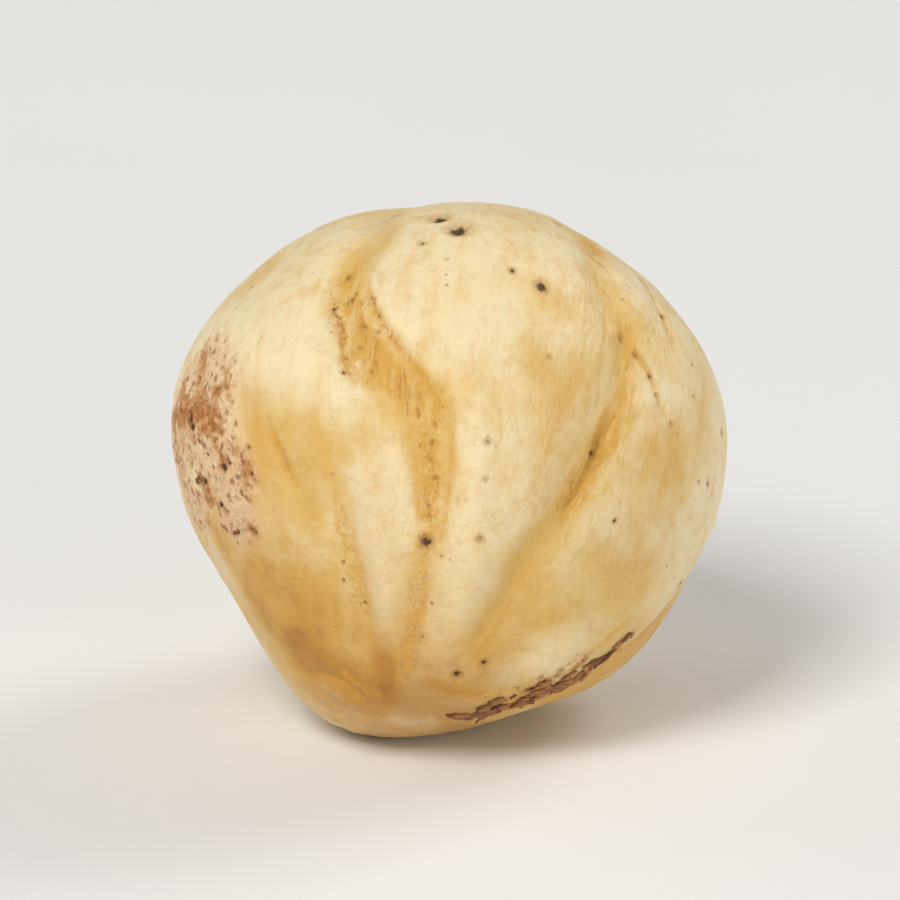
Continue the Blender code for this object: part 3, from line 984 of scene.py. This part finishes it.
def make_scrap(surface, centre, length, heading, draw):
    """One scrap of skin: a torn sheet that clings to the flesh on one side and curls up on the other."""
    bpy.ops.object.select_all(action="DESELECT")
    bpy.ops.mesh.primitive_grid_add(x_subdivisions=13, y_subdivisions=9, size=2.0)
    scrap = bpy.context.active_object
    tear(scrap, draw)
    normal = surface.tree.find_nearest(centre)[1]
    along = (heading - normal * heading.dot(normal)).normalized()
    along.rotate(Quaternion(normal, draw.uniform(-0.6, 0.6)))
    across = normal.cross(along)
    half_long = length * draw.uniform(0.4, 0.6) * MM
    half_wide = half_long * draw.uniform(0.3, 0.65)
    free_side = facing(draw.uniform(0.0, 360.0), 0.0)
    curl = draw.uniform(0.3, 1.0) * bpy.context.scene.nut_skin.curl * min(1.0, half_wide / (0.25 * MM))
    shift = Vector((0.0, draw.uniform(0.0, 50.0), 0.0))
    fibres = []
    for vert in scrap.data.vertices:
        flat = vert.co.copy()
        fibres.append((flat.x * half_long, flat.y * half_wide, 0.0))
        place = centre + along * flat.x * half_long + across * flat.y * half_wide
        lift = curl * max(0.0, flat.dot(free_side) - 0.1) ** 1.6
        lift += SCRAP_WAVE * (0.5 + noise.noise(flat * 2.1 + shift))
        ground, outwards = surface.tree.find_nearest(place)[:2]
        vert.co = ground + outwards * (SCRAP_GAP + lift)
    store(scrap.data, "fibre", np.array(fibres))
    return scrap


def cling_places(surface):
    """Centre, length and heading of every scrap of skin, front and back."""
    draw = random.Random(SEED_SCRAPS)
    places = []
    for clings, find in ((FRONT_CLINGS, surface.seen_at), (SIDE_CLINGS, surface.on_seed)):
        for cling in clings:
            line = [find(*point) for point in smooth_curve(cling.path)]
            for index in range(cling.count):
                step = round(index * (len(line) - 1) / max(1, cling.count - 1))
                spot, heading = line[step], line[min(step + 1, len(line) - 1)] - line[max(step - 1, 0)]
                stray = Vector([draw.uniform(-SCRAP_STRAY, SCRAP_STRAY) for _ in range(3)])
                spot = surface.tree.find_nearest(spot + stray)[0]
                places.append((spot, cling.length * draw.uniform(0.4, 1.4), heading))
    return places, draw


def join_pieces(pieces, name):
    """One object made of several."""
    bpy.ops.object.select_all(action="DESELECT")
    for piece in pieces:
        piece.select_set(True)
    bpy.context.view_layer.objects.active = pieces[0]
    bpy.ops.object.join()
    pieces[0].name = name
    return pieces[0]


def place_in_mesh(piece):
    """Move an object's place into its mesh, so that the object sits at the origin."""
    select_only(piece)
    bpy.ops.object.transform_apply(location=True, rotation=True, scale=True)


class NUT_OT_flesh(bpy.types.Operator):
    """Refine a copy of the solid kernel and give it the relief and colours of nut flesh"""

    bl_idname = "nut.flesh"
    bl_label = "Make the flesh"

    def execute(self, context):
        settings = context.scene.nut_flesh
        flesh = refine_copy(frame["nodes"]["kernel"], "flesh")
        shape_flesh(flesh, NutSurface(flesh.data), settings)
        flesh.data.materials.append(flesh_material(settings))
        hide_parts("kernel")
        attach(flesh, "root")
        return {"FINISHED"}


class NUT_OT_skin(bpy.types.Operator):
    """Leave scraps of papery skin clinging to the flesh"""

    bl_idname = "nut.skin"
    bl_label = "Leave scraps of skin"

    def execute(self, context):
        settings = context.scene.nut_skin
        surface = NutSurface(bpy.data.objects["flesh"].data)
        places, draw = cling_places(surface)
        scraps = join_pieces([make_scrap(surface, *place, draw) for place in places], "skin_scraps")
        place_in_mesh(scraps)
        wall = scraps.modifiers.new("wall", "SOLIDIFY")
        wall.thickness = settings.thickness
        wall.offset = 1.0
        finish_modifiers(scraps)
        bpy.ops.object.shade_smooth_by_angle(angle=math.radians(50.0))
        scraps.data.materials.clear()
        scraps.data.materials.append(skin_material(settings))
        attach(scraps, "root")
        return {"FINISHED"}


def aimed(place, target):
    """Rotation that points a light or a camera from one place at another."""
    return (target - place).to_track_quat("-Z", "Y").to_euler()


def add_light(light, target):
    """A soft square light that points at the nut."""
    place = target + facing(light.turn, light.lift) * light.distance
    bpy.ops.object.light_add(type="AREA", location=place, rotation=aimed(place, target))
    lamp = bpy.context.active_object
    lamp.name = light.name
    lamp.data.size = light.size
    lamp.data.energy = light.watts
    lamp.data.color = light.colour


def floor_material(colour):
    """Plain pale board with a barely visible mottle."""
    mix = Recipe("floor")
    shade = mix.band(mix.noise(mix.place(), 60.0, 4.0), 0.3, 0.7)
    pale = mix.blend(shade, colour, tuple(part * FLOOR_SHADE for part in colour[:3]) + (1.0,))
    return mix.finish(Base_Color=pale, Roughness=0.75)


class NUT_OT_stage(bpy.types.Operator):
    """Set the nut on a plain pale floor, with soft studio light and the camera"""

    bl_idname = "nut.stage"
    bl_label = "Set the stage"

    def execute(self, context):
        settings = context.scene.nut_stage
        low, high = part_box("kernel")
        target = (low + high) / 2.0
        bpy.ops.mesh.primitive_plane_add(size=FLOOR_SIDE, location=(0.0, 0.0, low.z))
        floor = context.active_object
        floor.name = "floor"
        floor.data.materials.append(floor_material(settings.floor_colour))

        for light in LIGHTS:
            add_light(light, target)
        world = bpy.data.worlds.new("soft_room")
        world.use_nodes = True
        background = world.node_tree.nodes["Background"]
        background.inputs["Color"].default_value = ROOM_COLOUR
        background.inputs["Strength"].default_value = ROOM_STRENGTH
        context.scene.world = world
        context.scene.view_settings.view_transform = "Standard"

        place = target + TOWARDS * settings.camera_distance
        bpy.ops.object.camera_add(location=place, rotation=aimed(place, target))
        camera = context.active_object
        picture_width = (high.x - low.x) / settings.frame_share
        camera.data.lens = camera.data.sensor_width * settings.camera_distance / picture_width
        camera.data.clip_start = CAMERA_CLIP
        context.scene.camera = camera
        return {"FINISHED"}


class NUT_PT_panel(bpy.types.Panel):
    """Steps that finish the hazelnut"""

    bl_idname = "NUT_PT_panel"
    bl_label = "Skinned hazelnut"
    bl_space_type = "VIEW_3D"
    bl_region_type = "UI"
    bl_category = "Hazelnut"

    def draw(self, context):
        for operator in OPERATORS:
            self.layout.operator(operator.bl_idname)
        for settings in (context.scene.nut_flesh, context.scene.nut_skin, context.scene.nut_stage):
            box = self.layout.box()
            for name in settings.__annotations__:
                box.prop(settings, name)


SETTINGS = {"nut_flesh": FleshSettings, "nut_skin": SkinSettings, "nut_stage": StageSettings}
OPERATORS = (NUT_OT_flesh, NUT_OT_skin, NUT_OT_stage)
CLASSES = (*SETTINGS.values(), *OPERATORS, NUT_PT_panel)


def register():
    """Add the settings, the operators and the panel to Blender."""
    for known in CLASSES:
        bpy.utils.register_class(known)
    for name, group in SETTINGS.items():
        setattr(bpy.types.Scene, name, PointerProperty(type=group))


def unregister():
    """Take them away again."""
    for name in SETTINGS:
        delattr(bpy.types.Scene, name)
    for known in reversed(CLASSES):
        bpy.utils.unregister_class(known)


def main():
    """Run every step in order."""
    register()
    bpy.ops.nut.flesh()
    bpy.ops.nut.skin()
    bpy.ops.nut.stage()


if __name__ == "__main__":
    main()
